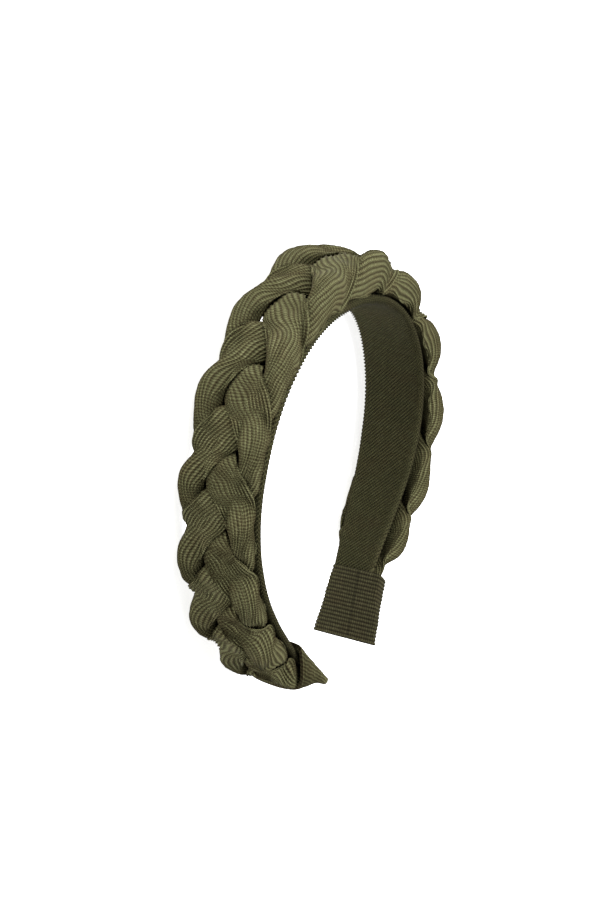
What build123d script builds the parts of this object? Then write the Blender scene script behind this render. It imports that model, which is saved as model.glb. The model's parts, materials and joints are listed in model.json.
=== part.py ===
# Braided fabric headband lying on its side: X is ear to ear, +Y is towards the crown, +Z is up.
# Sizes are in millimetres. The rear edge rests on the floor and the front edge is up.
import math
import os

from build123d import *

os.makedirs("parts", exist_ok=True)

# The hoop, measured along its inner surface from the crown to a tip
half_length = 186.0
left_shortfall = 7.8
# The band under the plait
crown_width = 19.6
side_width = 23.7
leg_width = 21.7
right_neck_width = 15.2
left_neck_width = 18.4
tip_width = 12.0
band_thickness = 3.4
neck_thickness = 2.6
tip_thickness = 1.4
band_end_inset = 7.0
# The plait
plait_half_width = 14.4
plait_height = 9.6
plait_gap = 0.35
strand_ease = 0.32
# Where the plait stands higher than usual, how far its strands fill out from beneath
plait_fill = 1.4
# How far the plait's ends reach past the sleeves' mouths
right_plait_reach = 5.0
left_plait_reach = 16.0
# The sleeves over the tips
sleeve_length = 26.0
sleeve_end_width = 25.2
sleeve_end_thickness = 2.9
right_mouth_width = 20.2
right_mouth_thickness = 11.4
right_mouth_forward = 0.3
left_mouth_width = 22.4
left_mouth_thickness = 11.2
left_mouth_forward = 2.6
# How much nearer to the tip a mouth lies on the outer side than on the inner side
right_mouth_skew = 1.0
left_mouth_skew = 18.0
sleeve_end_forward = 2.8
sleeve_wall = 1.2
sleeve_clearance = 0.2
sleeve_seam = 6.0
# The level at which the plait's lobes are pressed flat by the floor, below the middle of the band
rest_depth = 15.0

# The hoop's bend: share of the half length, then the turn in degrees over a tenth of the half
# length, on the right leg and on the left leg
bend_rows = [
    ("share", "right", "left"),
    (0.0, 12.7, 12.7),
    (0.1667, 16.5, 16.5),
    (0.3333, 20.6, 20.6),
    (0.5, 22.3, 22.3),
    (0.6667, 11.1, 11.1),
    (0.8333, 0.2, 0.2),
    (1.0, -0.4, -0.4),
]

# The band: share of the half length, negative on the left leg, then its width, its thickness and
# its shift towards the front edge
band_rows = [
    ("share", "width", "thickness", "forward"),
    (-1.0 + (band_end_inset + left_shortfall) / half_length, tip_width, tip_thickness, 2.4),
    (-0.8100, left_neck_width, neck_thickness, 1.6),
    (-0.6667, leg_width, band_thickness, 1.0),
    (-0.3333, side_width, band_thickness, 0.5),
    (0.0000, crown_width, band_thickness, 0.7),
    (0.3333, side_width, band_thickness, 0.0),
    (0.6667, leg_width, band_thickness, -0.2),
    (0.8600, right_neck_width, neck_thickness, -0.9),
    (1.0 - band_end_inset / half_length, tip_width, tip_thickness, 0.6),
]

# The middle of each plait lobe on the front edge, as a share of the half length,
# negative on the left leg
lobe_rows = [
    ("lobe", "share"),
    (-9, -1.300),
    (-8, -1.160),
    (-7, -1.020),
    (-6, -0.864),
    (-5, -0.718),
    (-4, -0.595),
    (-3, -0.469),
    (-2, -0.355),
    (-1, -0.218),
    (0, -0.072),
    (1, 0.106),
    (2, 0.256),
    (3, 0.405),
    (4, 0.535),
    (5, 0.671),
    (6, 0.793),
    (7, 0.910),
    (8, 1.030),
    (9, 1.150),
]

# One strand's section at every twelfth of its turn round the plait, drawn 30 wide and 10.7 high:
# offset across the band, height above it, tilt in degrees, sag, half width, half thickness.
# The second half of the turn mirrors the first.
drawn_half_width = 15.0
drawn_height = 10.7
strand_rows = [
    ("across", "height", "tilt", "sag", "half_width", "half_thickness"),
    (-0.49, 5.14, 28.0, 0.14, 9.13, 2.14),
    (4.51, 6.97, 4.7, 2.62, 8.95, 2.19),
    (8.50, 6.08, -33.8, 2.17, 7.68, 2.74),
    (10.14, 5.50, -30.3, 1.24, 4.86, 4.15),
    (10.10, 3.89, -8.8, 1.84, 4.80, 3.84),
    (6.00, 2.65, -0.8, 0.30, 7.80, 2.37),
]

# How the plait fills out along the hoop: share of the half length, negative on the left leg, then
# its width, its height, its lift off the band and its shift towards the front edge
plait_rows = [
    ("share", "width", "height", "lift", "forward"),
    (-0.910, 0.46, 0.40, 0.0, 2.8),
    (-0.880, 0.46, 0.66, 0.0, 2.9),
    (-0.850, 0.54, 1.08, 0.0, 2.9),
    (-0.822, 0.63, 1.20, 0.0, 2.6),
    (-0.774, 0.79, 1.25, 0.0, 2.5),
    (-0.730, 0.87, 1.27, 0.0, 1.3),
    (-0.660, 0.95, 1.10, 0.2, 0.5),
    (-0.530, 0.95, 0.88, 0.0, 0.3),
    (-0.430, 0.95, 0.82, 0.2, 0.2),
    (-0.333, 0.96, 0.94, 0.0, 0.2),
    (-0.250, 0.97, 1.17, 0.0, -0.2),
    (-0.160, 0.98, 1.38, 0.0, 0.1),
    (0.000, 1.05, 1.52, 0.0, -0.5),
    (0.120, 0.94, 1.54, 0.0, -0.4),
    (0.250, 0.95, 1.16, 0.5, -0.1),
    (0.333, 0.97, 1.04, 1.8, 0.5),
    (0.500, 1.00, 1.03, 2.5, 1.2),
    (0.600, 1.03, 1.10, 3.0, 0.8),
    (0.680, 1.00, 1.13, 3.7, -0.7),
    (0.760, 1.02, 1.03, 1.8, -1.5),
    (0.810, 0.83, 0.81, 1.1, -0.8),
    (0.856, 0.55, 0.60, 0.2, 0.4),
    (0.890, 0.48, 0.40, 0.0, 0.8),
]

# The sleeves: share of the sleeve's length from its mouth, share of the way from the mouth's size
# to the end's size in width and in thickness
sleeve_rows = [
    ("share", "width", "thickness"),
    (0.00, 0.00, 0.00),
    (0.30, 0.26, 0.32),
    (0.65, 0.66, 0.74),
    (1.00, 1.00, 1.00),
]

section_turn = 15.0
section_points = 12
section_power = 2.4
band_spans = 44
sleeve_spans = 5


def column(rows, name):
    return [row[rows[0].index(name)] for row in rows[1:]]


def read_straight(xs, ys, x):
    """Straight-line reading of a table, held at its ends."""
    if x <= xs[0]:
        return ys[0]
    for i in range(1, len(xs)):
        if x <= xs[i]:
            t = (x - xs[i - 1]) / (xs[i] - xs[i - 1])
            return ys[i - 1] + (ys[i] - ys[i - 1]) * t
    return ys[-1]


def read_smooth(xs, ys, x):
    """Smooth reading of a table, with the slope at each row taken from its neighbours."""
    x = min(max(x, xs[0]), xs[-1])
    i = 1
    while i < len(xs) - 1 and x > xs[i]:
        i += 1
    slopes = []
    for j in (i - 1, i):
        a = max(j - 1, 0)
        b = min(j + 1, len(xs) - 1)
        slopes.append((ys[b] - ys[a]) / (xs[b] - xs[a]))
    span = xs[i] - xs[i - 1]
    t = (x - xs[i - 1]) / span
    start = ys[i - 1] * (1 - t) ** 2 * (1 + 2 * t) + slopes[0] * span * t * (1 - t) ** 2
    end = ys[i] * t * t * (3 - 2 * t) - slopes[1] * span * t * t * (1 - t)
    return start + end


def hoop_leg(name, steps=400):
    """Points and headings down one leg of the hoop, from the crown."""
    shares = column(bend_rows, "share")
    turns = column(bend_rows, name)
    step = half_length / steps
    x, y, heading = 0.0, 0.0, 0.0
    leg = [(x, y, heading)]
    for i in range(steps):
        turn = math.radians(read_straight(shares, turns, (i + 0.5) / steps)) * 10.0 / steps
        x += math.cos(heading + turn / 2) * step
        y -= math.sin(heading + turn / 2) * step
        heading += turn
        leg.append((x, y, heading))
    return leg


legs = {1: hoop_leg("right"), -1: hoop_leg("left")}
origin = [0.0, 0.0, 0.0]


def hoop_place(s):
    """Point on the hoop's inner surface at s along it, and the heading there."""
    side = 1 if s >= 0 else -1
    leg = legs[side]
    place = min(abs(s) / half_length, 1.0) * (len(leg) - 1)
    i = min(int(place), len(leg) - 2)
    t = place - i
    x, y, heading = (leg[i][c] + (leg[i + 1][c] - leg[i][c]) * t for c in range(3))
    return side * x, y, side * heading


def hoop_plane(s, lean):
    """Section plane across the hoop at s, leaning along it: x runs to the rear, y outward."""
    x, y, heading = hoop_place(s)
    heading += lean
    along = (math.cos(heading), -math.sin(heading), 0.0)
    centre = (x + origin[0], y + origin[1], origin[2])
    return Plane(origin=centre, x_dir=(0, 0, -1), z_dir=along)


def band_face(s):
    """Height of the band's outer face above its inner surface."""
    return read_smooth(column(band_rows, "share"), column(band_rows, "thickness"), s / half_length)


def band_sections():
    left_end = -(half_length - left_shortfall - band_end_inset)
    right_end = half_length - band_end_inset
    sections = []
    for n in range(band_spans + 1):
        s = left_end + (right_end - left_end) * n / band_spans
        shares = column(band_rows, "share")
        width = read_smooth(shares, column(band_rows, "width"), s / half_length)
        forward = read_smooth(shares, column(band_rows, "forward"), s / half_length)
        thickness = band_face(s)
        edge = thickness * 0.3
        front = -width / 2 - forward
        rear = width / 2 - forward
        outline = [
            (front + edge, 0),
            (rear - edge, 0),
            (rear, edge),
            (rear, thickness - edge),
            (rear - edge, thickness),
            (front + edge, thickness),
            (front, thickness - edge),
            (front, edge),
        ]
        sections.append((s, 0.0, outline))
    return sections


def strand_shape(phase):
    """One strand's section, as drawn, at any phase of its turn round the plait."""
    turn = (phase % 360.0) / 30.0
    drawn = strand_rows[1:]
    i = int(turn)
    t = turn - i
    near = []
    for j in (i - 1, i, i + 1, i + 2):
        mirror = 1 if (j // 6) % 2 == 0 else -1
        row = drawn[j % 6]
        near.append((mirror * row[0], row[1], mirror * row[2], row[3], row[4], row[5]))
    weights = (
        -0.5 * t + t * t - 0.5 * t ** 3,
        1.0 - 2.5 * t * t + 1.5 * t ** 3,
        0.5 * t + 2.0 * t * t - 1.5 * t ** 3,
        -0.5 * t * t + 0.5 * t ** 3,
    )
    return [sum(w * row[c] for w, row in zip(weights, near)) for c in range(6)]


def strand_outline(phase, s):
    """Corner points of one strand's section, across the band and above its inner surface."""
    across, height, tilt, sag, half_width, half_thickness = strand_shape(phase)
    tilt = math.radians(tilt)
    shares = column(plait_rows, "share")
    widen, heighten, lift, forward = (
        read_smooth(shares, column(plait_rows, name), s / half_length)
        for name in ("width", "height", "lift", "forward")
    )
    base = band_face(s) + plait_gap + lift
    fill = plait_fill * max(1 - 1 / heighten, 0)
    outline = []
    for n in range(section_points):
        angle = 2 * math.pi * (n + 0.5) / section_points
        u = math.copysign(abs(math.cos(angle)) ** (2 / section_power), math.cos(angle))
        v = math.copysign(abs(math.sin(angle)) ** (2 / section_power), math.sin(angle))
        wide = (half_width - strand_ease) * u
        high = (half_thickness - strand_ease) * v - sag * (u * u - 0.4)
        y = across + wide * math.cos(tilt) - high * math.sin(tilt)
        h = height + wide * math.sin(tilt) + high * math.cos(tilt)
        y = y * plait_half_width / drawn_half_width * widen - forward
        h = max(h, 0.1) / drawn_height
        h *= 1 + fill * (1 - h)
        outline.append((min(y, rest_depth), base + h * plait_height * heighten))
    return outline


def strand_sections(shift):
    """Sections of one strand in order from the left tip, shifted round the plait by shift."""
    lobes = column(lobe_rows, "lobe")
    shares = column(lobe_rows, "share")
    right_end = half_length - sleeve_length + right_plait_reach
    left_end = left_shortfall + sleeve_length - left_plait_reach - half_length
    sections = []
    for n in range(int((lobes[-1] - lobes[0]) * 120.0 / section_turn) + 1):
        lobe = lobes[0] + n * section_turn / 120.0
        s = half_length * read_smooth(lobes, shares, lobe)
        if left_end <= s <= right_end:
            sections.append((s, 0.0, strand_outline(270.0 - lobe * 120.0 + shift, s)))
    return sections


def sleeve_sections(side, inset, depth):
    """Sections of a sleeve from its mouth down to depth, drawn in by inset."""
    shares = column(sleeve_rows, "share")
    mouth_width = right_mouth_width if side > 0 else left_mouth_width
    mouth_thickness = right_mouth_thickness if side > 0 else left_mouth_thickness
    mouth_forward = right_mouth_forward if side > 0 else left_mouth_forward
    mouth_skew = right_mouth_skew if side > 0 else left_mouth_skew
    tip = half_length if side > 0 else half_length - left_shortfall
    sections = []
    for n in range(sleeve_spans + 1):
        along = depth * n / sleeve_spans
        wide = read_smooth(shares, column(sleeve_rows, "width"), along / sleeve_length)
        thin = read_smooth(shares, column(sleeve_rows, "thickness"), along / sleeve_length)
        width = mouth_width + (sleeve_end_width - mouth_width) * wide - 2 * inset
        thickness = mouth_thickness + (sleeve_end_thickness - mouth_thickness) * thin
        lean = math.atan(mouth_skew * (1 - along / sleeve_length) / thickness)
        low = -sleeve_clearance - sleeve_wall + inset
        high = -sleeve_clearance - sleeve_wall + thickness - inset
        edge = (high - low) * 0.25
        low_edge = min(1.2 - 0.6 * inset, edge)
        forward = mouth_forward + (sleeve_end_forward - mouth_forward) * wide
        front = -width / 2 - forward
        rear = width / 2 - forward
        outline = [
            (front + low_edge, low),
            (rear - low_edge, low),
            (rear, low + low_edge),
            (rear, high - edge),
            (rear - edge, high),
            (front + edge, high),
            (front, high - edge),
            (front, low + low_edge),
        ]
        outline = [(across, above / math.cos(lean)) for across, above in outline]
        sections.append((side * (tip - sleeve_length + along), side * lean, outline))
    return sections


def place_origin():
    """Put the middle of the whole headband over the origin and its lowest lobe on the floor."""
    xs, ys, zs = [], [], []
    pieces = [band_sections(), sleeve_sections(1, 0, sleeve_length), sleeve_sections(-1, 0, sleeve_length)]
    pieces += [strand_sections(shift) for shift in (0, 120, 240)]
    for sections in pieces:
        for s, lean, outline in sections:
            x, y, heading = hoop_place(s)
            for across, above in outline:
                xs.append(x + math.sin(heading + lean) * above)
                ys.append(y + math.cos(heading + lean) * above)
                zs.append(-across)
    origin[:] = [-(min(xs) + max(xs)) / 2, -(min(ys) + max(ys)) / 2, -min(zs)]


place_origin()

with BuildPart() as band:
    for s, lean, outline in band_sections():
        with BuildSketch(hoop_plane(s, lean)):
            with BuildLine():
                Polyline(*outline, close=True)
            make_face()
    loft(ruled=True)

with BuildPart() as strand_1:
    for s, lean, outline in strand_sections(0):
        with BuildSketch(hoop_plane(s, lean)):
            with BuildLine():
                Polyline(*outline, close=True)
            make_face()
    loft(ruled=True)

with BuildPart() as strand_2:
    for s, lean, outline in strand_sections(120):
        with BuildSketch(hoop_plane(s, lean)):
            with BuildLine():
                Polyline(*outline, close=True)
            make_face()
    loft(ruled=True)

with BuildPart() as strand_3:
    for s, lean, outline in strand_sections(240):
        with BuildSketch(hoop_plane(s, lean)):
            with BuildLine():
                Polyline(*outline, close=True)
            make_face()
    loft(ruled=True)

with BuildPart() as sleeve_right:
    for s, lean, outline in sleeve_sections(1, 0, sleeve_length):
        with BuildSketch(hoop_plane(s, lean)):
            with BuildLine():
                Polyline(*outline, close=True)
            make_face()
    loft(ruled=True)
    for s, lean, outline in sleeve_sections(1, sleeve_wall, sleeve_length - sleeve_seam):
        with BuildSketch(hoop_plane(s, lean)):
            with BuildLine():
                Polyline(*outline, close=True)
            make_face()
    loft(ruled=True, mode=Mode.SUBTRACT)

with BuildPart() as sleeve_left:
    for s, lean, outline in sleeve_sections(-1, 0, sleeve_length):
        with BuildSketch(hoop_plane(s, lean)):
            with BuildLine():
                Polyline(*outline, close=True)
            make_face()
    loft(ruled=True)
    for s, lean, outline in sleeve_sections(-1, sleeve_wall, sleeve_length - sleeve_seam):
        with BuildSketch(hoop_plane(s, lean)):
            with BuildLine():
                Polyline(*outline, close=True)
            make_face()
    loft(ruled=True, mode=Mode.SUBTRACT)

band.part.label = "band"
strand_1.part.label = "strand_1"
strand_2.part.label = "strand_2"
strand_3.part.label = "strand_3"
sleeve_right.part.label = "sleeve_right"
sleeve_left.part.label = "sleeve_left"
for piece in (band, strand_1, strand_2, strand_3, sleeve_right, sleeve_left):
    export_step(piece.part, "parts/" + piece.part.label + ".step")
    print(piece.part.label, round(piece.part.volume), "mm3, valid", piece.part.is_valid)
print("origin at", [round(v, 3) for v in origin])
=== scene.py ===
# Braided corduroy headband. Every surface is ribbed cloth, laid as a fine closed mesh along the
# same lines as the solids. The headband lies on its rear edge.
import json
import math

import bpy
import numpy as np
from mathutils import Matrix, Vector
from mathutils.bvhtree import BVHTree


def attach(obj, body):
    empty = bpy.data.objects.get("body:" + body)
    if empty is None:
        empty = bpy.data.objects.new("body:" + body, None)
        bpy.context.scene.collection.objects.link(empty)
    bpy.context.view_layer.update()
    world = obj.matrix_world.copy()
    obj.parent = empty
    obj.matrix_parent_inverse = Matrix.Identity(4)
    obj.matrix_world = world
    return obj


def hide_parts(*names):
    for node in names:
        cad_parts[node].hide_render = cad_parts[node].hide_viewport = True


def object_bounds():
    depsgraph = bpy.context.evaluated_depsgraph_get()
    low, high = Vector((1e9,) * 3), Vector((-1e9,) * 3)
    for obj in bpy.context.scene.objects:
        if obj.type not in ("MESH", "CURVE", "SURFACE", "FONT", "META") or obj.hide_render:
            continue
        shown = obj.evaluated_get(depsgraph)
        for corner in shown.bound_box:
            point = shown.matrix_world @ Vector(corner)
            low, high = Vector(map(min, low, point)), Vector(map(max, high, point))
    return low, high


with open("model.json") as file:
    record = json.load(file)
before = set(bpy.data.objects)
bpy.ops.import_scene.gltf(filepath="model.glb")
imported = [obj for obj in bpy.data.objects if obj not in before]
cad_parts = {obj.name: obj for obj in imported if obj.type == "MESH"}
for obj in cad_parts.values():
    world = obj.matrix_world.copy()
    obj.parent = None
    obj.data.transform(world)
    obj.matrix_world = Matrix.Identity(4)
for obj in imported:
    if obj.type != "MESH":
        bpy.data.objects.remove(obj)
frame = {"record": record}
solid_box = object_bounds()

MM = 0.001
crown_seat = np.array(frame["record"]["mounts"][0]["pos_m"]) / MM

# Sizes of the headband in millimetres, the same as in the solids
half_length = 186.0
left_shortfall = 7.8
plait_half_width = 14.4
plait_height = 9.6
plait_gap = 0.35
right_plait_reach = 5.0
left_plait_reach = 16.0
sleeve_length = 26.0
sleeve_end_width = 25.2
sleeve_end_thickness = 2.9
sleeve_end_forward = 2.8
sleeve_wall = 1.2
sleeve_clearance = 0.2
sleeve_seam = 6.0
rest_depth = 15.0
band_end_inset = 7.0
right_tip = half_length
left_tip = half_length - left_shortfall
mouths = {
    "right": {"side": 1, "width": 20.2, "thickness": 11.4, "forward": 0.3, "skew": 1.0, "tip": right_tip},
    "left": {"side": -1, "width": 22.4, "thickness": 11.2, "forward": 2.6, "skew": 18.0, "tip": left_tip},
}

# How the edges of the band's and the sleeves' sections are cut: shares of the thickness, or in
# millimetres, where the low edge of a sleeve loses some of its cut as the section is inset
band_edge_share = 0.3
sleeve_high_edge_share = 0.25
sleeve_low_edge = 1.2
sleeve_low_edge_loss = 0.6
sleeve_rim_depth = 0.3

# The strands' cloth: points and wales round a strand, the height of the wales, and the share of
# it that is taken off before it is laid along the grid's normals
strand_columns = 168
strand_wales = 26
strand_wale_height = 0.6
strand_wale_sink = 0.7

# The band's and the sleeves' cloth: the distance between wales and their height. The band's run
# on the bias, in degrees, which fades in over its run at each end, and go on past the edges by
# the turnover.
band_wale_pitch = 1.5
band_wale_height = 0.7
band_bias = 47.0
band_turnover = 3.0
band_bias_run = 14.0
sleeve_wale_pitch = 1.45
sleeve_wale_height = 0.36
sleeve_girth = 56.0
flat_wale_sink = 0.6

# How far the cloth lies unevenly: for the strands, rows and columns of lumps and their height
strand_lumps = [(40, 5, 0.16), (240, 22, 0.05)]
strand_wale_wander = 0.12
band_unevenness = 0.08
sleeve_unevenness = 0.12

# The padding: each strand is drawn in from its own section, then its high places and the plait's
# two sides fill out. On the left leg the front edge is drawn back, less and less over the crown.
strand_ease = 0.22
leaf_fill = 0.9
side_fill = 0.1
front_ease = 0.8
front_ease_run = 40.0
press_passes = 4

# The hoop's bend: share of the half length, turn in degrees over a tenth of it
leg_tenths = 10.0
bend_rows = [
    ("share", "turn"),
    (0.0, 12.7),
    (0.1667, 16.5),
    (0.3333, 20.6),
    (0.5, 22.3),
    (0.6667, 11.1),
    (0.8333, 0.2),
    (1.0, -0.4),
]

# The band: share of the half length, width, thickness, shift towards the front edge
band_rows = [
    ("share", "width", "thickness", "forward"),
    (-1.0 + (band_end_inset + left_shortfall) / half_length, 12.0, 1.4, 2.4),
    (-0.8100, 18.4, 2.6, 1.6),
    (-0.6667, 21.7, 3.4, 1.0),
    (-0.3333, 23.7, 3.4, 0.5),
    (0.0000, 19.6, 3.4, 0.7),
    (0.3333, 23.7, 3.4, 0.0),
    (0.6667, 21.7, 3.4, -0.2),
    (0.8600, 15.2, 2.6, -0.9),
    (1.0 - band_end_inset / half_length, 12.0, 1.4, 0.6),
]

# The middle of each plait lobe on the front edge, as a share of the half length
lobe_rows = [
    ("lobe", "share"),
    (-9, -1.300),
    (-8, -1.160),
    (-7, -1.020),
    (-6, -0.864),
    (-5, -0.718),
    (-4, -0.595),
    (-3, -0.469),
    (-2, -0.355),
    (-1, -0.218),
    (0, -0.072),
    (1, 0.106),
    (2, 0.256),
    (3, 0.405),
    (4, 0.535),
    (5, 0.671),
    (6, 0.793),
    (7, 0.910),
    (8, 1.030),
    (9, 1.150),
]

# One strand's section at every twelfth of its turn round the plait; the second half mirrors it.
# It is drawn for a plait of the half width and height given here, with the sides of a
# superellipse of the given power.
drawn_half_width = 15.0
drawn_height = 10.7
drawn_floor = 0.1
sag_middle = 0.4
section_power = 2.4
section_points = 720
strand_rows = [
    ("across", "height", "tilt", "sag", "half_width", "half_thickness"),
    (-0.49, 5.14, 28.0, 0.14, 9.13, 2.14),
    (4.51, 6.97, 4.7, 2.62, 8.95, 2.19),
    (8.50, 6.08, -33.8, 2.17, 7.68, 2.74),
    (10.14, 5.50, -30.3, 1.24, 4.86, 4.15),
    (10.10, 3.89, -8.8, 1.84, 4.80, 3.84),
    (6.00, 2.65, -0.8, 0.30, 7.80, 2.37),
]

# How far each strand's turn runs ahead of the first one's, in degrees; a lobe is a third of a turn
strand_turns = {"strand_1": 0.0, "strand_2": 120.0, "strand_3": 240.0}
lobe_turn = 120.0
first_lobe_turn = 270.0

# How the plait fills out along the hoop
plait_rows = [
    ("share", "width", "height", "lift", "forward"),
    (-0.910, 0.60, 0.70, 0.0, 2.8),
    (-0.880, 0.62, 0.92, 0.0, 2.9),
    (-0.850, 0.64, 1.10, 0.0, 2.9),
    (-0.822, 0.68, 1.20, 0.0, 2.6),
    (-0.774, 0.79, 1.25, 0.0, 2.5),
    (-0.730, 0.87, 1.27, 0.0, 1.3),
    (-0.660, 0.95, 1.10, 0.2, 0.5),
    (-0.530, 0.95, 0.88, 0.0, 0.3),
    (-0.430, 0.95, 0.82, 0.2, 0.2),
    (-0.333, 0.96, 0.94, 0.0, 0.2),
    (-0.250, 0.97, 1.17, 0.0, -0.2),
    (-0.160, 0.98, 1.38, 0.0, 0.1),
    (0.000, 1.05, 1.52, 0.0, -0.5),
    (0.120, 0.94, 1.54, 0.0, -0.4),
    (0.250, 0.95, 1.20, 0.1, -0.1),
    (0.333, 0.97, 1.20, 0.2, 0.5),
    (0.500, 1.00, 1.26, 0.2, 1.2),
    (0.600, 1.03, 1.38, 0.2, 0.8),
    (0.680, 1.00, 1.46, 0.2, -0.7),
    (0.760, 1.02, 1.20, 0.1, -1.5),
    (0.810, 0.83, 0.91, 0.1, -0.8),
    (0.856, 0.55, 0.62, 0.0, 0.4),
    (0.890, 0.48, 0.40, 0.0, 0.8),
]

# The sleeves: share of the length from the mouth, share of the way from mouth size to end size
sleeve_rows = [
    ("share", "width", "thickness"),
    (0.00, 0.00, 0.00),
    (0.30, 0.26, 0.32),
    (0.65, 0.66, 0.74),
    (1.00, 1.00, 1.00),
]

# Folds in the strands: share and across where each starts and ends, its width and its depth.
# Beside each fold the cloth rolls the other way by a share of the depth, so many
# widths away. A fold is faint at its ends, which lie that share of a half wave in.
fold_rows = {
    "strand_1": [(-0.01, -5.0, -0.1, -10.2, 1.1, 2.0)],
    "strand_2": [],
    "strand_3": [(-0.12, -8.6, -0.205, -11.0, 1.1, 1.9), (-0.205, -11.0, -0.245, -10.0, 1.1, 1.9)],
}
fold_roll = 0.35
fold_roll_place = 2.2
fold_end = 0.12

# The floor, in metres: its width and how far it lies under the headband
floor_width = 8.0
floor_gap = 0.0002

# The camera about the hoop standing with its crown up: angles in degrees, lengths in
# millimetres, and the focal length in pixels of the frame's height
view_azimuth = 62.677
view_elevation = 23.914
view_roll = -0.114
view_distance = 587.4
view_pivot = (0, 0, -68.53)
view_off_right = 6.08
view_off_up = -15.953
focus_pixels = 1678.4
frame_height_pixels = 900.0
sensor_height = 36.0


# Reading the tables
def column(rows, name):
    """One column of a table whose first row names its columns."""
    return np.array([row[rows[0].index(name)] for row in rows[1:]], float)


def read_smooth(rows, key, name, at):
    """Smooth reading of one column, with the slope at each row taken from its neighbours."""
    places, values = column(rows, key), column(rows, name)
    at = np.clip(np.asarray(at, float), places[0], places[-1])
    after = np.clip(np.searchsorted(places, at), 1, len(places) - 1)
    before = after - 1
    low = np.maximum(np.arange(len(places)) - 1, 0)
    high = np.minimum(np.arange(len(places)) + 1, len(places) - 1)
    slopes = (values[high] - values[low]) / (places[high] - places[low])
    span = places[after] - places[before]
    t = (at - places[before]) / span
    start = values[before] * (1 - t) ** 2 * (1 + 2 * t) + slopes[before] * span * t * (1 - t) ** 2
    return start + values[after] * t * t * (3 - 2 * t) - slopes[after] * span * t * t * (1 - t)


# The hoop's line
def leg_line(steps=400):
    """Places along one leg: distance, x, y and heading, from the crown to the tip."""
    middles = (np.arange(steps) + 0.5) / steps
    turns = np.radians(np.interp(middles, column(bend_rows, "share"), column(bend_rows, "turn")))
    turns = turns * leg_tenths / steps
    heading = np.concatenate([[0.0], np.cumsum(turns)])
    along = heading[:-1] + turns / 2
    step = half_length / steps
    x = np.concatenate([[0.0], np.cumsum(np.cos(along)) * step])
    y = np.concatenate([[0.0], -np.cumsum(np.sin(along)) * step])
    return np.linspace(0, half_length, steps + 1), x, y, heading


def both_legs(values, mirror):
    """The right leg's values after the left leg's, which are the same ones times mirror."""
    return np.concatenate([mirror * values[:0:-1], values])


leg_s, leg_x, leg_y, leg_heading = leg_line()
line_s = both_legs(leg_s, -1)
line_x = both_legs(leg_x, -1)
line_y = both_legs(leg_y, 1)
line_heading = both_legs(leg_heading, -1)


def on_hoop(s, across, above):
    """Points at s along the hoop, across the band to the rear and above its inner surface."""
    heading = np.interp(s, line_s, line_heading)
    x = np.interp(s, line_s, line_x) + np.sin(heading) * above
    y = np.interp(s, line_s, line_y) + np.cos(heading) * above
    return np.stack(np.broadcast_arrays(x, y, -np.asarray(across, float)), -1)


def outer_way(s):
    """The way out from the hoop at s."""
    heading = np.interp(s, line_s, line_heading)
    return np.stack([np.sin(heading), np.cos(heading), 0 * heading], -1)


def band_face(s):
    """How high the band's outer face lies above its inner one at s."""
    return read_smooth(band_rows, "share", "thickness", np.asarray(s) / half_length)


# Cloth grids: rows of points along a piece, columns round it
def rounded(corners, count, cuts=3):
    """A closed outline with its corners cut round, as evenly spaced points."""
    line = corners
    for _ in range(cuts):
        ahead = np.roll(line, -1, axis=0)
        line = np.stack([line * 0.75 + ahead * 0.25, line * 0.25 + ahead * 0.75], 1).reshape(-1, 2)
    return evenly(line, count)


def evenly(line, count):
    """Points at even distances round a closed outline, from its first point."""
    closed = np.vstack([line, line[:1]])
    distance = np.concatenate([[0], np.cumsum(np.linalg.norm(np.diff(closed, axis=0), axis=1))])
    at = np.arange(count) / count * distance[-1]
    return np.stack([np.interp(at, distance, closed[:, axis]) for axis in range(2)], -1)


def grid_normals(points):
    """Unit normals of a grid, by the order of its rows and columns.

    On the band, the left sleeve and the strands they point into the piece.
    """
    around = np.roll(points, -1, axis=1) - np.roll(points, 1, axis=1)
    along = np.gradient(points, axis=0)
    normal = np.cross(along, around)
    return normal / np.maximum(np.linalg.norm(normal, axis=2, keepdims=True), 1e-9)


def wale(phase):
    """Height of a rib at any place across it, 0 in the groove and 1 on the crown."""
    return np.abs(np.sin(np.pi * phase))


def lumps(seed, rows, columns, down, round_points):
    """Smooth uneven heights from -1 to 1 at shares down a grid and at even places round it."""
    lattice = np.random.default_rng(seed).uniform(-1, 1, (rows + 2, columns))
    row_place = np.clip(down, 0, 1)[:, None] * rows
    column_place = np.arange(round_points)[None, :] / round_points * columns
    i, j = row_place.astype(int), column_place.astype(int)
    past_row, past_column = row_place - i, column_place - j
    past_row = past_row * past_row * (3 - 2 * past_row)
    past_column = past_column * past_column * (3 - 2 * past_column)
    next_j = (j + 1) % columns
    top = lattice[i, j] * (1 - past_column) + lattice[i, next_j] * past_column
    below = lattice[i + 1, j] * (1 - past_column) + lattice[i + 1, next_j] * past_column
    return top * (1 - past_row) + below * past_row


def grid_faces(rows, columns):
    """Quads between a grid's rows, then a fan from an added point over each end."""
    i = np.arange(rows - 1)[:, None] * columns
    j = np.arange(columns)[None, :]
    k = (j + 1) % columns
    quads = np.stack([i + j, i + columns + j, i + columns + k, i + k], -1).reshape(-1, 4)
    first, last = rows * columns, rows * columns + 1
    start = (rows - 1) * columns
    faces = [tuple(quad) for quad in quads.tolist()]
    faces += [(first, n, (n + 1) % columns) for n in range(columns)]
    faces += [(last, start + (n + 1) % columns, start + n) for n in range(columns)]
    return faces


def with_ends(grid):
    """A grid's points in one list, then the middle of each end."""
    return np.vstack([grid.reshape(-1, grid.shape[-1]), grid[0].mean(0), grid[-1].mean(0)])


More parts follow.
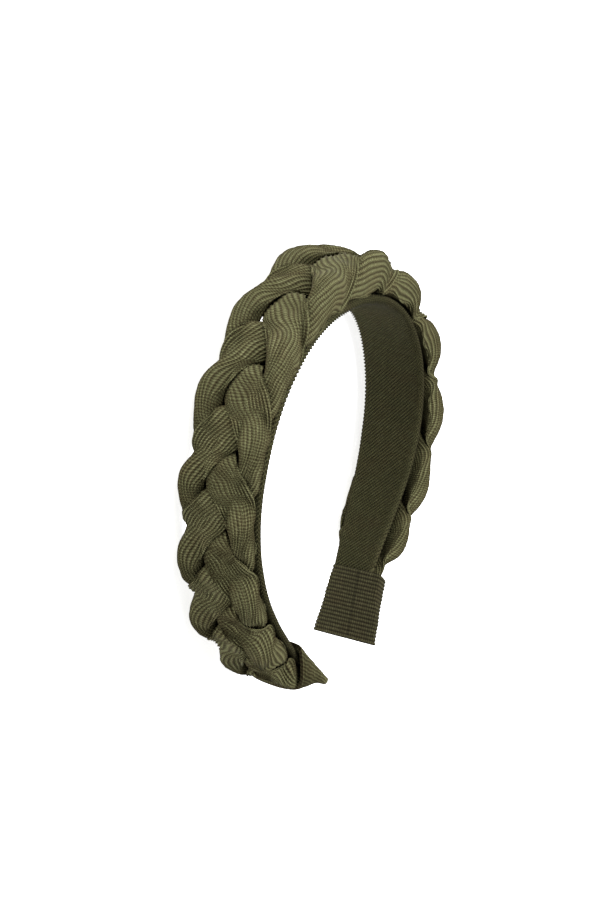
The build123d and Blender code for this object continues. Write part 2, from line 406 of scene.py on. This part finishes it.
def blur(values, rows, columns, times=2):
    """Running means along a grid and round it."""
    for _ in range(times):
        for axis, reach, mode in ((0, rows, "edge"), (1, columns, "wrap")):
            pads = [(0, 0), (0, 0)]
            pads[axis] = (reach, reach)
            wide = np.pad(values, pads, mode=mode)
            length = values.shape[axis]
            slices = [np.take(wide, range(n, n + length), axis=axis) for n in range(2 * reach + 1)]
            values = sum(slices) / len(slices)
    return values


def press_together(grids, fixed, touch=0.4, far=6.5, most=1.0, facing_gain=1.6):
    """Moves each padded grid towards the nearest other one, where its normals face that way."""
    trees = {}
    for name, grid in {**grids, **fixed}.items():
        trees[name] = BVHTree.FromPolygons(with_ends(grid).tolist(), grid_faces(*grid.shape[:2]))
    pressed = {}
    for name, grid in grids.items():
        others = [tree for other, tree in trees.items() if other != name]
        places = grid.reshape(-1, 3)
        nearest = places.copy()
        gaps = np.full(len(places), far)
        for n, place in enumerate(places.tolist()):
            for tree in others:
                point, _, _, distance = tree.find_nearest(place, gaps[n])
                if point is not None:
                    nearest[n], gaps[n] = point, distance
        gaps = gaps.reshape(grid.shape[:2])
        way = (nearest.reshape(grid.shape) - grid) / np.maximum(gaps, 1e-6)[..., None]
        facing = np.clip(np.sum(way * grid_normals(grid), -1) * facing_gain, 0, 1)
        free = np.maximum(gaps - touch, 0) / 2
        amount = np.minimum(free, most) * facing * np.clip((far - gaps) / (far * 0.5), 0, 1)
        move = np.stack([blur(amount * way[..., axis], 1, 4) for axis in range(3)], -1)
        size = np.maximum(np.linalg.norm(move, axis=-1), 1e-9)
        pressed[name] = grid + move * np.minimum(free / size, 1)[..., None]
    return pressed


def cloth_piece(node, points, weave, cloth):
    """A closed piece of cloth that stands for a node, from a grid of points in millimetres."""
    mesh = bpy.data.meshes.new(node + "_cloth")
    faces = grid_faces(*points.shape[:2])
    mesh.from_pydata((with_ends(points + crown_seat) * MM).tolist(), [], faces)
    grain = mesh.attributes.new("grain", "FLOAT_VECTOR", "POINT")
    grain.data.foreach_set("vector", with_ends(weave).astype(np.float32).ravel())
    mesh.polygons.foreach_set("use_smooth", [True] * len(mesh.polygons))
    mesh.materials.append(cloth)
    mesh.update()
    piece = bpy.data.objects.new(node + "_cloth", mesh)
    bpy.context.scene.collection.objects.link(piece)
    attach(piece, "root")
    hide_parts(node)


# Shader wiring
class Wire:
    """One socket of a material's node tree, with arithmetic that adds Math nodes."""

    def __init__(self, tree, socket):
        self.tree = tree
        self.socket = socket

    def node(self, kind, settings=None, inputs=None, out=0):
        """A new node with its settings and its sockets' values or links, as one of its outputs."""
        made = self.tree.nodes.new(kind)
        for key, value in (settings or {}).items():
            setattr(made, key, value)
        for key, value in (inputs or {}).items():
            if isinstance(value, Wire):
                self.tree.links.new(value.socket, made.inputs[key])
            else:
                made.inputs[key].default_value = value
        return Wire(self.tree, made.outputs[out] if made.outputs else None)

    def part(self, out):
        """Another output of the node that this socket belongs to."""
        return Wire(self.tree, self.socket.node.outputs[out])

    def maths(self, operation, *values, clamp=False):
        settings = {"operation": operation, "use_clamp": clamp}
        return self.node("ShaderNodeMath", settings, dict(enumerate(values)))

    def __add__(self, other):
        return self.maths("ADD", self, other)

    def __radd__(self, other):
        return self.maths("ADD", other, self)

    def __sub__(self, other):
        return self.maths("SUBTRACT", self, other)

    def __rsub__(self, other):
        return self.maths("SUBTRACT", other, self)

    def __mul__(self, other):
        return self.maths("MULTIPLY", self, other)

    def __rmul__(self, other):
        return self.maths("MULTIPLY", other, self)

    def __pow__(self, other):
        return self.maths("POWER", self, other)

    def clamp(self):
        return self.maths("ADD", self, 0.0, clamp=True)

    def mix(self, low, high):
        """Colour low where this socket is 0 and high where it is 1."""
        inputs = {0: self, 6: low, 7: high}
        return self.node("ShaderNodeMix", {"data_type": "RGBA"}, inputs, out=2)


def sine(wire):
    return wire.maths("SINE", wire)


def magnitude(wire):
    return wire.maths("ABSOLUTE", wire)


def colour(red, green, blue):
    """A colour as a screen shows it, 0 to 255, in the scene's linear light."""
    linear = [((value / 255 + 0.055) / 1.055) ** 2.4 for value in (red, green, blue)]
    return (*linear, 1.0)


# The cloths
def corduroy(name, crown, shaded_groove, worn, tint, ladder_pitch):
    """Ribbed pile cloth. The grain holds the place across the wales, and along them in mm."""
    material = bpy.data.materials.new(name)
    material.use_nodes = True
    tree = material.node_tree
    tree.nodes.clear()
    start = Wire(tree, None)
    grain = start.node("ShaderNodeAttribute", {"attribute_name": "grain"}, out=1)
    across = start.node("ShaderNodeSeparateXYZ", inputs={0: grain})
    along = across.part(1)
    place = start.node("ShaderNodeTexCoord", out=3)

    def noise(scale, detail, roughness=0.5):
        inputs = {"Vector": place, "Scale": scale, "Detail": detail, "Roughness": roughness}
        return start.node("ShaderNodeTexNoise", {"noise_dimensions": "3D"}, inputs)

    # The crown of each wale, cut into short tufts along it, and the pile on them
    hill = magnitude(sine(across * math.pi)) ** 1.5
    waver = noise(320.0, 1.0)
    tuft = sine((along + waver * 0.9) * (2 * math.pi / ladder_pitch)) * 0.5 + 0.5
    pile = noise(2600.0, 3.0, 0.7)
    patch = noise(110.0, 3.0, 0.55)
    fleck = noise(700.0, 2.0, 0.6)

    # Painted shade: dark in the grooves and between the tufts. Brown in patches and paler where it is
    # worn
    painted_groove_shade = (1 - hill) * (1.05 - tuft * 0.3) + (1 - tuft) * hill * 0.6
    lit = (1 - painted_groove_shade + (pile - 0.5) * 0.6).clamp()
    brown = ((patch - 0.47) * 3.0).clamp() * 0.6
    base = lit.mix(shaded_groove, brown.mix(crown, tint))
    wear = ((fleck - 0.5) * 4.0).clamp() * hill * tuft * 0.5
    base = wear.mix(base, worn)
    # Darker in random patches, a little towards the grooves' colour
    shade = (0.9 + (patch - 0.5) * 0.6 + (fleck - 0.5) * 0.5).clamp()
    base = shade.mix(shaded_groove, base)

    rough = 0.88 + (pile - 0.5) * 0.12
    height = hill * 0.4 + tuft * 0.45 + pile * 0.6
    bump = start.node("ShaderNodeBump", inputs={"Strength": 0.8, "Distance": 0.0003, "Height": height})
    finish = {"Base Color": base, "Roughness": rough, "Normal": bump, "Specular IOR Level": 0.08}
    surface = start.node("ShaderNodeBsdfPrincipled", inputs=finish)
    start.node("ShaderNodeOutputMaterial", inputs={"Surface": surface})
    return material


strand_cloth = corduroy(
    "strand_corduroy",
    crown=colour(116, 117, 82),
    shaded_groove=colour(46, 38, 22),
    worn=colour(134, 135, 104),
    tint=colour(95, 83, 57),
    ladder_pitch=0.88,
)
# The band's cloth is the strands' cloth made darker: painted shade for the band inside the hoop
shaded_band_cloth = corduroy(
    "band_corduroy_painted_shade",
    crown=colour(88, 88, 58),
    shaded_groove=colour(30, 26, 15),
    worn=colour(108, 106, 78),
    tint=colour(75, 63, 42),
    ladder_pitch=0.9,
)
# The right sleeve's cloth is the strands' cloth made darker: painted shade
shaded_sleeve_cloth = corduroy(
    "sleeve_corduroy_painted_shade",
    crown=colour(73, 71, 48),
    shaded_groove=colour(26, 22, 13),
    worn=colour(100, 97, 72),
    tint=colour(60, 50, 33),
    ladder_pitch=0.9,
)


# The strands of the plait
def strand_shape(phase):
    """One strand's section, as drawn, at every given phase of its turn round the plait."""
    rows = np.array(strand_rows[1:])
    ring = np.vstack([rows, rows * np.array([-1, 1, -1, 1, 1, 1])])
    place = (np.asarray(phase) % 360.0) / (360.0 / len(ring))
    i = place.astype(int)
    t = place - i
    weights = [
        -0.5 * t + t * t - 0.5 * t ** 3,
        1.0 - 2.5 * t * t + 1.5 * t ** 3,
        0.5 * t + 2.0 * t * t - 1.5 * t ** 3,
        -0.5 * t * t + 0.5 * t ** 3,
    ]
    return sum(weight[:, None] * ring[(i + n - 1) % len(ring)] for n, weight in enumerate(weights)).T


def plait_stations(stations_per_lobe=24):
    """Lobe numbers and places along the hoop of the rows that all strands share."""
    right_end = half_length - sleeve_length + right_plait_reach
    left_end = left_shortfall + sleeve_length - left_plait_reach - half_length
    numbers = column(lobe_rows, "lobe")
    lobes = np.arange(numbers[0], numbers[-1], 1 / stations_per_lobe)
    s = half_length * read_smooth(lobe_rows, "lobe", "share", lobes)
    kept = (s >= left_end) & (s <= right_end)
    return lobes[kept], s[kept]


def squared(values):
    """A circle's cosines or sines, pushed out towards a square's."""
    return np.sign(values) * np.abs(values) ** (2 / section_power)


def strand_outlines(turn, lobes, s):
    """One strand's outline at every station: places across the hoop and above its base."""
    phase = first_lobe_turn - lobes * lobe_turn + turn
    middle, height, tilt, sag, half_width, half_thickness = strand_shape(phase)[:, :, None]
    tilt = np.radians(tilt)
    share = s / half_length
    widen = read_smooth(plait_rows, "share", "width", share) * plait_half_width / drawn_half_width
    heighten = read_smooth(plait_rows, "share", "height", share)[:, None]
    forward = read_smooth(plait_rows, "share", "forward", share)
    angle = np.linspace(0, 2 * np.pi, section_points, endpoint=False) - np.pi / 2
    sideways = squared(np.cos(angle))
    wide = (half_width - strand_ease) * sideways
    high = (half_thickness - strand_ease) * squared(np.sin(angle))
    high = high - sag * (sideways ** 2 - sag_middle)
    across = middle + wide * np.cos(tilt) - high * np.sin(tilt)
    above = height + wide * np.sin(tilt) + high * np.cos(tilt)
    above = np.maximum(above, drawn_floor) / drawn_height
    above = above * (1 + leaf_fill * above * (1 - above)) * plait_height * heighten
    return across * widen[:, None] - forward[:, None], above


def furthest(values, reach=14):
    """The largest value within reach of each station."""
    runs = [values[max(n - reach, 0):n + reach + 1] for n in range(len(values))]
    return np.array([run.max() for run in runs])[:, None]


def even_sides(outlines, s):
    """Broadens the strands towards both sides of the plait, so that the lobes close up there."""
    rear = furthest(np.max([across.max(1) for across, above in outlines.values()], axis=0))
    front = furthest(-np.min([across.min(1) for across, above in outlines.values()], axis=0))
    eased = front_ease * np.clip(0.5 - s / front_ease_run, 0, 1)[:, None]
    evened = {}
    for name, (across, above) in outlines.items():
        to_rear = np.clip(across / rear, 0, 1)
        to_front = np.clip(-across / front, 0, 1)
        moved = across + rear * side_fill * to_rear * (1 - to_rear ** 2) + eased * to_front ** 2
        evened[name] = (moved - front * side_fill * to_front * (1 - to_front ** 2), above)
    return evened


def strand_grid(outline, s):
    """The smooth surface of one strand and its wales, counted from the middle of its outer side."""
    base = band_face(s) + plait_gap + read_smooth(plait_rows, "share", "lift", s / half_length)
    points = np.zeros((len(s), strand_columns, 3))
    wales = np.zeros((len(s), strand_columns))
    quarter_wales = np.linspace(-0.5, 0.5, 5) * strand_wales
    for n, (across, above) in enumerate(zip(*outline)):
        line = np.stack([across, above], -1)
        steps = np.linalg.norm(np.roll(line, -1, axis=0) - line, axis=1)
        round_to = np.concatenate([[0], np.cumsum(steps)])
        quarters = round_to[::len(line) // 4]
        at = np.arange(strand_columns) / strand_columns * round_to[-1]
        wales[n] = np.interp(at, quarters, quarter_wales)
        even = evenly(line, strand_columns)
        points[n] = on_hoop(s[n], even[:, 0], base[n] + even[:, 1])
    return points, straighter(wales)


def straighter(wales, reach=9):
    """The count of wales with its quick changes along the strand smoothed out."""
    weights = np.hanning(2 * reach + 3)[1:-1]
    weights /= weights.sum()
    longer = np.pad(wales, ((reach, reach), (0, 0)), mode="edge")
    return sum(weight * longer[n:n + len(wales)] for n, weight in enumerate(weights))


def crease(points, s, rows):
    """Depths of a strand's folds, below 0 in each fold and above 0 in the roll beside it."""
    sunk = np.zeros(points.shape[:2])
    share = s[:, None] / half_length
    for start, start_across, end, end_across, width, depth in rows:
        along = (end - start) * half_length
        aside = end_across - start_across
        away_along = (share - start) * half_length
        away_aside = -points[..., 2] - start_across
        t = np.clip((away_along * along + away_aside * aside) / (along ** 2 + aside ** 2), 0, 1)
        distance = np.hypot(away_along - along * t, away_aside - aside * t)
        fading = np.sin(np.pi * (fold_end + (1 - 2 * fold_end) * t))
        rolled = fold_roll * np.exp(-(distance / width - fold_roll_place) ** 2)
        sunk += depth * fading * (rolled - np.exp(-(distance / width) ** 2))
    return sunk


def wale_relief(points, wales, s, seed, folds):
    """A strand's ribbed surface over its smooth one, with its weave."""
    columns = points.shape[1]
    line = points.mean(1)
    length = np.concatenate([[0], np.cumsum(np.linalg.norm(np.diff(line, axis=0), axis=1))])
    down = length / length[-1]
    wandering = wales + lumps(seed, 22, 4, down, columns) * strand_wale_wander
    normal = grid_normals(points)
    facing = np.clip(np.sum(normal * outer_way(s)[:, None, :], -1) * 2, 0, 1)
    relief = (wale(wandering) - strand_wale_sink) * strand_wale_height
    for n, (lump_rows, lump_columns, height) in enumerate(strand_lumps):
        relief += lumps(seed + 1 + n, lump_rows, lump_columns, down, columns) * height
    relief += crease(points, s, folds) * facing
    weave = np.stack(np.broadcast_arrays(wandering, length[:, None], relief), -1)
    surface = points + normal * relief[..., None]
    surface[..., 2] = np.maximum(surface[..., 2], -rest_depth)
    return surface, weave


def plait(fixed):
    """The three strands, moved towards each other and the fixed grids, then ribbed."""
    lobes, stations = plait_stations()
    outlines = {name: strand_outlines(turn, lobes, stations) for name, turn in strand_turns.items()}
    outlines = even_sides(outlines, stations)
    strands = {name: strand_grid(outline, stations) for name, outline in outlines.items()}
    grids = {name: points for name, (points, wales) in strands.items()}
    for _ in range(press_passes):
        grids = press_together(grids, fixed)
    for number, (name, points) in enumerate(grids.items()):
        seed = 10 * number + 10
        surface, weave = wale_relief(points, strands[name][1], stations, seed, fold_rows[name])
        cloth_piece(name, surface, weave, strand_cloth)


# The band
def wrapped_round(outline, reach):
    """How far round from the middle of the inner face each point is; past reach it runs back."""
    count = len(outline)
    step = np.linalg.norm(outline - np.roll(outline, 1, axis=0), axis=1).mean()
    middle = (outline[:, 0].min() + outline[:, 0].max()) / 2
    first = int(np.argmin(np.abs(outline[:, 0] - middle) + 10 * outline[:, 1]))
    round_to = ((np.arange(count) - first + count // 2) % count - count // 2) * step
    half = count / 2 * step
    return np.interp(round_to, [-half, -reach, reach, half], [0.0, -reach, reach, 0.0])


def band_outline(width, forward, top, columns):
    """The band's section: a flat strip with its edges rounded off."""
    edge = top * band_edge_share
    front, rear = -width / 2 - forward, width / 2 - forward
    corners = np.array([
        (front + edge, 0), (rear - edge, 0), (rear, edge), (rear, top - edge),
        (rear - edge, top), (front + edge, top), (front, top - edge), (front, edge),
    ])
    return rounded(corners, columns, cuts=2)


def band_surface(columns=64, rows_per_wale=5):
    """The band's cloth. Its rows follow the bias wales and turn back at the band's edges."""
    left_end = -(half_length - left_shortfall - band_end_inset)
    right_end = half_length - band_end_inset
    rows = int((right_end - left_end) / band_wale_pitch * rows_per_wale)
    s = np.linspace(left_end, right_end, rows)
    width = read_smooth(band_rows, "share", "width", s / half_length)
    forward = read_smooth(band_rows, "share", "forward", s / half_length)
    thickness = band_face(s)
    points = np.zeros((rows, columns, 3))
    weave = np.zeros((rows, columns, 3))
    bias = math.radians(band_bias)
    fade = np.clip(np.minimum(s - left_end, right_end - s) / band_bias_run, 0, 1)
    for n in range(rows):
        outline = band_outline(width[n], forward[n], thickness[n], columns)
        wrap = wrapped_round(outline, width[n] / 2 + thickness[n] + band_turnover)
        place = np.clip(s[n] + wrap * math.tan(bias) * fade[n], left_end, right_end)
        points[n] = on_hoop(place, outline[:, 0], outline[:, 1])
        weave[n, :, 0] = (s[n] - left_end) / band_wale_pitch
        weave[n, :, 1] = wrap / math.cos(bias)
    relief = (wale(weave[..., 0]) - flat_wale_sink) * band_wale_height
    relief += lumps(31, 50, 6, np.linspace(0, 1, rows), columns) * band_unevenness
    return points + grid_normals(points) * relief[..., None], weave


# The sleeves
def sleeve_corners(mouth, share, inset):
    """A sleeve's section at a share of its length, inset from its outer side, and its slant."""
    wide = float(read_smooth(sleeve_rows, "share", "width", share))
    thin = float(read_smooth(sleeve_rows, "share", "thickness", share))
    width = mouth["width"] + (sleeve_end_width - mouth["width"]) * wide - 2 * inset
    thickness = mouth["thickness"] + (sleeve_end_thickness - mouth["thickness"]) * thin
    forward = mouth["forward"] + (sleeve_end_forward - mouth["forward"]) * wide
    low = -sleeve_clearance - sleeve_wall + inset
    high = -sleeve_clearance - sleeve_wall + thickness - inset
    edge = (high - low) * sleeve_high_edge_share
    low_edge = min(sleeve_low_edge - sleeve_low_edge_loss * inset, edge)
    front, rear = -width / 2 - forward, width / 2 - forward
    corners = np.array([
        (front + low_edge, low), (rear - low_edge, low), (rear, low + low_edge), (rear, high - edge),
        (rear - edge, high), (front + edge, high), (front, high - edge), (front, low + low_edge),
    ])
    return corners, mouth["skew"] * (1 - share) / thickness


def sleeve_surface(mouth, seed, columns=112, rows_per_wale=7, inner_rows=24):
    """Outer side from the sewn end to the mouth, round its rim, then down inside."""
    outer = np.linspace(sleeve_length, 0, int(sleeve_length / sleeve_wale_pitch * rows_per_wale))
    inner = np.linspace(sleeve_rim_depth, sleeve_length - sleeve_seam, inner_rows)
    stations = [(along, 0.0) for along in outer]
    stations += [(0.0, sleeve_wall * part) for part in (0.25, 0.5, 0.75)]
    stations += [(along, sleeve_wall) for along in inner]
    points = np.zeros((len(stations), columns, 3))
    weave = np.zeros((len(stations), columns, 3))
    relief = np.zeros((len(stations), columns))
    for n, (along, inset) in enumerate(stations):
        corners, lean = sleeve_corners(mouth, along / sleeve_length, inset)
        outline = rounded(corners, columns)
        place = mouth["tip"] - sleeve_length + along + lean * outline[:, 1]
        points[n] = on_hoop(mouth["side"] * place, outline[:, 0], outline[:, 1])
        weave[n, :, 0] = along / sleeve_wale_pitch
        weave[n, :, 1] = np.arange(columns) / columns * sleeve_girth
        if inset == 0.0:
            relief[n] = (wale(along / sleeve_wale_pitch) - flat_wale_sink) * sleeve_wale_height
    relief += lumps(seed, 12, 9, np.linspace(0, 1, len(stations)), columns) * sleeve_unevenness
    return points + grid_normals(points) * relief[..., None], weave


# The pieces
band_points, band_weave = band_surface()
cloth_piece("band", band_points, band_weave, shaded_band_cloth)

plait_rests_on = {"band": band_points}
# The right sleeve wears the darker cloth with painted shade; the left sleeve wears the strands' cloth
for side, cloth, seed in (("right", shaded_sleeve_cloth, 51), ("left", strand_cloth, 52)):
    surface, weave = sleeve_surface(mouths[side], seed)
    cloth_piece("sleeve_" + side, surface, weave, cloth)
    plait_rests_on["sleeve_" + side] = surface

plait(plait_rests_on)


# Floor, lights and camera
def plain_floor(glow=0.8):
    """A pale floor just under the headband, glowing a little so that no hard shadow shows."""
    material = bpy.data.materials.new("pale_floor")
    material.use_nodes = True
    shader = material.node_tree.nodes["Principled BSDF"]
    shader.inputs["Base Color"].default_value = (0.96, 0.96, 0.96, 1)
    shader.inputs["Roughness"].default_value = 0.9
    shader.inputs["Emission Color"].default_value = (1, 1, 1, 1)
    shader.inputs["Emission Strength"].default_value = glow
    bpy.ops.mesh.primitive_plane_add(size=floor_width, location=(0, 0, solid_box[0][2] - floor_gap))
    floor = bpy.context.object
    floor.name = "floor"
    floor.data.materials.append(material)


def soft_light(name, place, size, power):
    """A round lamp in metres and watts that faces the middle of the headband."""
    aim = Vector((0, 0, 0.015))
    data = bpy.data.lights.new(name, "AREA")
    data.shape = "DISK"
    data.size = size
    data.energy = power
    lamp = bpy.data.objects.new(name, data)
    lamp.location = place
    lamp.rotation_euler = (aim - Vector(place)).to_track_quat("-Z", "Y").to_euler()
    bpy.context.scene.collection.objects.link(lamp)


def studio(room_light=0.37):
    """Even white light from all round, and three soft lamps."""
    world = bpy.data.worlds.new("studio")
    bpy.context.scene.world = world
    world.use_nodes = True
    background = world.node_tree.nodes["Background"]
    background.inputs["Color"].default_value = (1, 1, 1, 1)
    background.inputs["Strength"].default_value = room_light
    soft_light("key", (0.2, 0.1, 1.05), 0.6, 17.5)
    soft_light("fill", (-0.28, 0.95, 0.45), 0.5, 4)
    soft_light("top", (0.15, 1.05, 0.1), 0.5, 4)
    bpy.context.scene.view_settings.view_transform = "Standard"


def laid(way):
    """A direction about the standing hoop, turned with the hoop onto its rear edge."""
    return Vector((way.x, way.z, -way.y))


def camera():
    """The camera at the photograph's viewing angle."""
    azimuth = math.radians(view_azimuth)
    elevation = math.radians(view_elevation)
    roll = math.radians(view_roll)
    level = math.cos(elevation)
    back = Vector((-math.sin(azimuth) * level, -math.cos(azimuth) * level, math.sin(elevation)))
    right = Vector((math.cos(azimuth), -math.sin(azimuth), 0))
    up = back.cross(right)
    turned_right = right * math.cos(roll) - up * math.sin(roll)
    turned_up = right * math.sin(roll) + up * math.cos(roll)
    place = Vector(view_pivot) + back * view_distance
    place = place - turned_right * view_off_right - turned_up * view_off_up

    data = bpy.data.cameras.new("camera")
    data.sensor_fit = "VERTICAL"
    data.sensor_height = sensor_height
    data.lens = focus_pixels * sensor_height / frame_height_pixels
    data.clip_end = 20.0
    lens = bpy.data.objects.new("camera", data)
    axes = Matrix([laid(turned_right), laid(turned_up), laid(back)]).transposed()
    lens.matrix_world = Matrix.Translation((laid(place) + Vector(crown_seat)) * MM) @ axes.to_4x4()
    bpy.context.scene.collection.objects.link(lens)
    bpy.context.scene.camera = lens


plain_floor()
studio()
camera()
